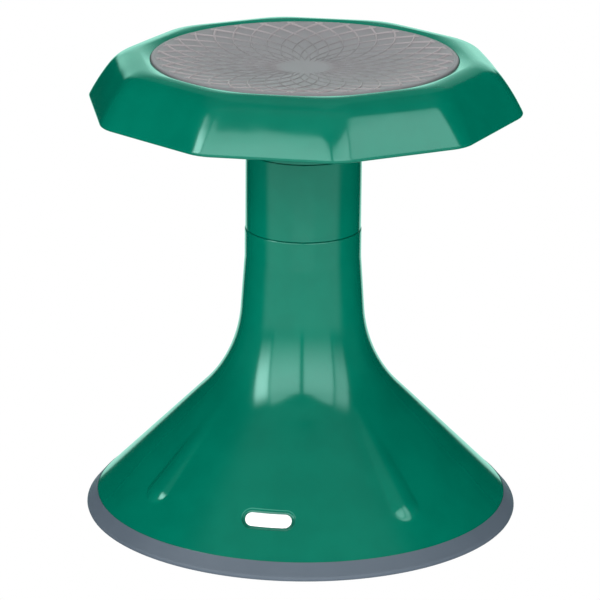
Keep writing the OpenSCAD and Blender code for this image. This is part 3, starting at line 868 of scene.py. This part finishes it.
def build_pad_arcs():
    """Two mirrored families of thin raised arcs that cross near the middle of the pad."""
    count, steps = 32, 44
    start_r, end_r = 18 * MM, 112.4 * MM
    swing, lean = 150 * MM, math.radians(3.54)
    section = [(-1.0, -0.3), (-0.66, 0.2), (-0.28, 0.5), (0.28, 0.5), (0.66, 0.2), (1.0, -0.3)]
    parts = []
    for hand in (1, -1):
        for k in range(count):
            radii = np.linspace(start_r, end_r, steps)
            azimuth = lean * hand + TAU / count * k + hand * np.arcsin(radii / swing) - math.pi / 2
            path = np.stack([radii * np.cos(azimuth), radii * np.sin(azimuth)], 1)
            tangent = np.gradient(path, axis=0)
            tangent /= np.linalg.norm(tangent, axis=1)[:, None]
            side = np.stack([-tangent[:, 1], tangent[:, 0]], 1)
            rings = []
            for i, r in enumerate(radii):
                share = (r - start_r) / (end_r - start_r)
                width = (0.5 + 0.62 * share ** 1.5) * MM
                height = (0.8 + 1.2 * share ** 2) * MM
                ends = min(1.0, (i + 0.4) / 2.5, (steps - 1 - i + 0.6) / 1.6)
                ring = []
                for across, up in section:
                    p = path[i] + side[i] * across * width * (0.5 + 0.5 * ends)
                    rise = up * height * (ends if up > 0 else 1)
                    ring.append((p[0], p[1], float(pad_height(math.hypot(*p))) + rise))
                rings.append(ring)
            parts.append(loft(rings, closed=False, cap_first=True, cap_last=True))
    verts, faces = merge(parts)
    new_object("pad_arcs", verts, faces, "seat", RIDGE)


# ------------------------------------------------------------ the base's rubber and underside
def dome_z(r):
    """Height of the domed underside at a radius."""
    return math.sqrt(ROCKER_R ** 2 - SOLE_FLAT_R ** 2) - math.sqrt(ROCKER_R ** 2 - r ** 2)


def build_rim():
    """Rubber rim: it carries on from the cone, turns down over a shoulder and has a faint parting bead."""
    shoulder_r, under_r = 3.5 * MM, 4.6 * MM
    widest = 21.4 * MM
    outer_r = RIM_HI.x - 0.9 * MM
    lip_r, inner_r = BELL_FOOT_R + 0.06 * MM, 156.1 * MM
    shelf_z = BELL_FOOT_Z - 5.15 * MM
    lip = (lip_r + 0.2 * MM, BELL_FOOT_Z + 0.1 * MM)
    fall = math.degrees(math.atan2(lip[1] - widest - 0.6 * MM, outer_r - lip[0]))
    shoulder = arc((outer_r - shoulder_r, widest), shoulder_r, 90 - fall, 0, 24)
    slope = [(lip[0] + (shoulder[0][0] - lip[0]) * t, lip[1] + (shoulder[0][1] - lip[1]) * t)
             for t in np.linspace(0, 1, 17)]
    upper = slope[:-1] + shoulder
    # below the widest height the wall steps in a little and carries the bead, down to the dome
    bead_h, bead_z, bead_w, step_in = 0.2 * MM, 21.2 * MM, 0.5 * MM, 0.3 * MM
    lower = []
    for x, z in arc((outer_r - under_r, widest), under_r, 0, -80, 30)[1:]:
        z = max(z, dome_z(x) + 0.02 * MM)
        bead = bead_h * math.exp(-((z - bead_z) / bead_w) ** 2)
        lower.append((x - step_in + bead, z))
    last = lower[-1][0]
    bottom = [(r, dome_z(r) + 0.04 * MM) for r in np.linspace(last - 1 * MM, inner_r + 0.5 * MM, 5)]
    inside = [(inner_r, dome_z(inner_r) + 0.5 * MM), (inner_r, shelf_z), (lip_r, shelf_z),
              (lip_r, lip[1] - 0.5 * MM), (lip_r + 0.12 * MM, lip[1] - 0.12 * MM)]
    verts, faces = revolve(upper + lower + resample(bottom + inside, 6 * MM), 320)
    rim = new_object("rim_band", verts, faces, "base", RIM)
    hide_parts("rim_ring")


def build_sole():
    """Grip disc with concentric ribs and three plugs that hold it in the pan."""
    r_out, top, centre_r = SOLE_HI.x, 3.2 * MM, 0.5 * MM
    groove_h, pitch = 0.35 * MM, 3.1 * MM
    section = []
    for r in np.linspace(centre_r, r_out - 0.6 * MM, 120):
        z = max(0.0, dome_z(max(r, SOLE_FLAT_R)))
        share = max(0.0, math.sin(r / pitch * TAU)) ** 0.5 * float(smoothstep(3 * MM, 5 * MM, r))
        section.append((r, float(z + groove_h * share)))
    edge_z = section[-1][1]
    section += [(r_out - 0.2 * MM, edge_z + 0.3 * MM), (r_out, edge_z + 0.8 * MM), (r_out, top),
                (centre_r, top)]
    angles = np.linspace(0, TAU, 160, endpoint=False)
    rings = [circle(r, z, angles) for r, z in section]
    parts = [loft(rings, closed=False, cap_first=True, cap_last=True)]
    plugs, plug_at = 3, 28 * MM
    profile = ((3, 2.8), (3, 6.8), (2.6, 7.2))
    for k in range(plugs):
        parts.append(post(plug_at, math.radians(90 + 360 / plugs * k), profile, 24, closed=False))
    verts, faces = merge(parts)
    sole = new_object("sole_grip", verts, faces, "base", RIM)
    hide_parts("sole_disc")


# ------------------------------------------------------------ carried-over CAD nodes
def eased(name, mat, width):
    """Gives a CAD node its material and eased edges."""
    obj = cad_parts[name]
    obj.data.materials.clear()
    obj.data.materials.append(mat)
    bevel = obj.modifiers.new("eased_edges", "BEVEL")
    bevel.width = width
    bevel.segments = 2
    bevel.limit_method = "ANGLE"
    bevel.angle_limit = math.radians(40)
    bevel.harden_normals = True


def finish_cad_nodes():
    """Materials and eased edges for the nodes that keep their CAD shape."""
    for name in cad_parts:
        if name.endswith("_screws"):
            eased(name, STEEL, 0.12 * MM)
        elif name.endswith("_washer"):
            eased(name, WASHER, 0.2 * MM)
    eased("base_pan", GREEN, 0.35 * MM)
    eased("pad_backer", INSERT, 0.3 * MM)
    eased("pad_core", FOAM, 0.6 * MM)


# ------------------------------------------------------------ floor, light and camera
def build_floor():
    """Plain pale floor, seen from above only; the world below the horizon lights the stool in its place."""
    bpy.ops.mesh.primitive_plane_add(size=30, location=(0, 0, -0.2 * MM))
    floor = bpy.context.object
    floor.name = "studio_floor"
    mat, n = material("studio_floor")
    seen = n.add("ShaderNodeEmission", {"Color": (1, 1, 1, 1), "Strength": 1.0})
    clear = n.add("ShaderNodeBsdfTransparent")
    under = n.add("ShaderNodeNewGeometry").outputs["Backfacing"]
    mixed = n.add("ShaderNodeMixShader", {0: under})
    n.tree.links.new(seen.outputs[0], mixed.inputs[1])
    n.tree.links.new(clear.outputs[0], mixed.inputs[2])
    out = n.add("ShaderNodeOutputMaterial")
    n.tree.links.new(mixed.outputs[0], out.inputs[0])
    floor.data.materials.append(mat)
    for kind in ("diffuse", "glossy", "transmission", "shadow"):
        setattr(floor, "visible_" + kind, False)


def build_world():
    """White to the camera. For light and reflections: tall soft panels in front, dark sides, a pale back."""
    world = bpy.data.worlds.new("studio")
    bpy.context.scene.world = world
    world.use_nodes = True
    n = Nodes(world.node_tree)
    ray = n.add("ShaderNodeTexCoord").outputs["Generated"]
    x, y, z = n.add("ShaderNodeSeparateXYZ", {"Vector": ray}).outputs
    azimuth = n.math("DEGREES", n.math("ARCTAN2", x, n.math("MULTIPLY", y, -1.0)))
    side = n.math("ABSOLUTE", azimuth)
    height = n.math("DEGREES", n.math("ARCSINE", z))
    # panels either side of the camera, their upper edge climbing away to the sides
    edge = n.math("MULTIPLY_ADD", n.step(side, 0.0, 46.0), 6.0, 44.8)
    over = n.math("SUBTRACT", height, edge)
    below_edge = n.step(over, -1.5, 1.5, 1.0, 0.0)
    climb = n.step(height, -12.0, 32.0, 0.0, 2.85)
    level = n.math("MULTIPLY", climb, n.step(height, 36.0, 50.0, 1.0, 0.68))
    panels = n.math("MULTIPLY", n.window(side, 3.0, 51.0, 0.8), n.math("MULTIPLY", level, below_edge))
    # narrower, brighter strips further round
    past_top = n.math("SUBTRACT", height, n.step(azimuth, -1.0, 1.0, 38.0, 43.0))
    strip_top = n.math("MULTIPLY", n.step(past_top, 0.0, 13.0, 1.0, 0.0), n.step(height, -4.0, 30.0))
    strip_level = n.step(azimuth, -1.0, 1.0, 6.3, 2.2)
    strips = n.math("MULTIPLY", n.window(side, 54.0, 74.0, 2.5), n.math("MULTIPLY", strip_level, strip_top))
    front = n.math("ADD", panels, strips)
    # light off the floor, a dim ceiling, and a green-tinted backdrop straight behind
    floor = n.math("MULTIPLY", n.step(height, -12.0, 2.0, 0.58, 0.0), n.step(side, 66.0, 84.0, 1.0, 0.0))
    ceiling = n.math("MULTIPLY", n.step(height, 44.0, 60.0, 0.0, 0.15), n.step(side, 70.0, 100.0, 1.0, 0.3))
    glow = n.step(height, -4.0, 6.0, 1.0, 1.35)
    back_level = n.math("MULTIPLY", glow, n.step(height, 3.0, 32.0, 1.0, 0.12))
    narrow = n.step(height, -12.0, -5.0, 150.0, 163.0)
    back_edge = n.math("ADD", narrow, n.step(height, 3.0, 9.0, 0.0, -7.0))
    inside = n.step(n.math("SUBTRACT", side, back_edge), 0.0, 5.0)
    backdrop = n.math("MULTIPLY", inside, back_level)
    near = n.math("ADD", n.math("ADD", front, floor), ceiling)
    back_tint = (0.6, 1.15, 0.98)
    tinted = n.add("ShaderNodeVectorMath", {0: back_tint, 3: backdrop}, operation="SCALE").outputs[0]
    total = n.add("ShaderNodeVectorMath", {0: near, 1: tinted}, operation="ADD").outputs[0]
    seen = n.add("ShaderNodeBackground", {"Color": (1, 1, 1, 1), "Strength": 1.0})
    lit = n.add("ShaderNodeBackground", {"Color": total, "Strength": 1.0})
    eye = n.add("ShaderNodeLightPath").outputs["Is Camera Ray"]
    mixed = n.add("ShaderNodeMixShader", {0: eye})
    n.tree.links.new(lit.outputs[0], mixed.inputs[1])
    n.tree.links.new(seen.outputs[0], mixed.inputs[2])
    out = n.add("ShaderNodeOutputWorld")
    n.tree.links.new(mixed.outputs[0], out.inputs[0])


def area_light(name, place, aim, size, energy):
    """A soft fill that lights the surfaces but isn't mirrored in them."""
    light = bpy.data.lights.new(name, "AREA")
    light.shape = "RECTANGLE"
    light.size, light.size_y = size
    light.energy = energy
    obj = bpy.data.objects.new(name, light)
    obj.location = place
    obj.rotation_euler = (Vector(aim) - Vector(place)).to_track_quat("-Z", "Y").to_euler()
    obj.visible_glossy = False
    obj.visible_camera = False
    bpy.context.scene.collection.objects.link(obj)


def build_lights():
    """Fills from above, from low in front, from both sides and from behind."""
    area_light("overhead_fill", (0.0, 0.3, 2.4), (0, 0, 0.2), (2.4, 2.4), 43)
    area_light("front_fill", (0.0, -2.0, -0.7), (0, 0, 0.2), (1.6, 0.6), 42)
    area_light("left_fill", (-2.3, 0.2, 0.3), (0, 0, 0.2), (1.6, 1.2), 26)
    area_light("right_fill", (2.3, 0.2, 0.3), (0, 0, 0.2), (1.6, 1.2), 28)
    area_light("back_fill", (0.0, 2.3, 0.9), (0, 0, 0.2), (2.0, 0.8), 40)


def build_camera():
    """Camera at the eye height and distance of a product photograph."""
    cam = bpy.data.objects.new("camera", bpy.data.cameras.new("camera"))
    bpy.context.scene.collection.objects.link(cam)
    cam.data.sensor_width = 36
    cam.data.lens = 199.5
    cam.data.clip_start, cam.data.clip_end = 0.1, 60
    pitch, roll = math.radians(90 - 17.905), math.radians(0.531)
    turn = Matrix.Rotation(pitch, 4, "X") @ Matrix.Rotation(roll, 4, "Z")
    cam.matrix_world = Matrix.Translation((-0.0019, -2.450, 0.977)) @ turn
    bpy.context.scene.camera = cam


def set_view():
    """Plain display transform, so that white stays white."""
    view = bpy.context.scene.view_settings
    view.view_transform = "Standard"
    view.look = "None"
    view.exposure = 0
    view.gamma = 1


build_bell()
build_badge()
build_bell_inside()
build_column()
build_threads()
build_seat()
build_seat_ribs()
build_pad()
build_pad_arcs()
build_rim()
build_sole()
finish_cad_nodes()
build_floor()
build_world()
build_lights()
build_camera()
set_view()
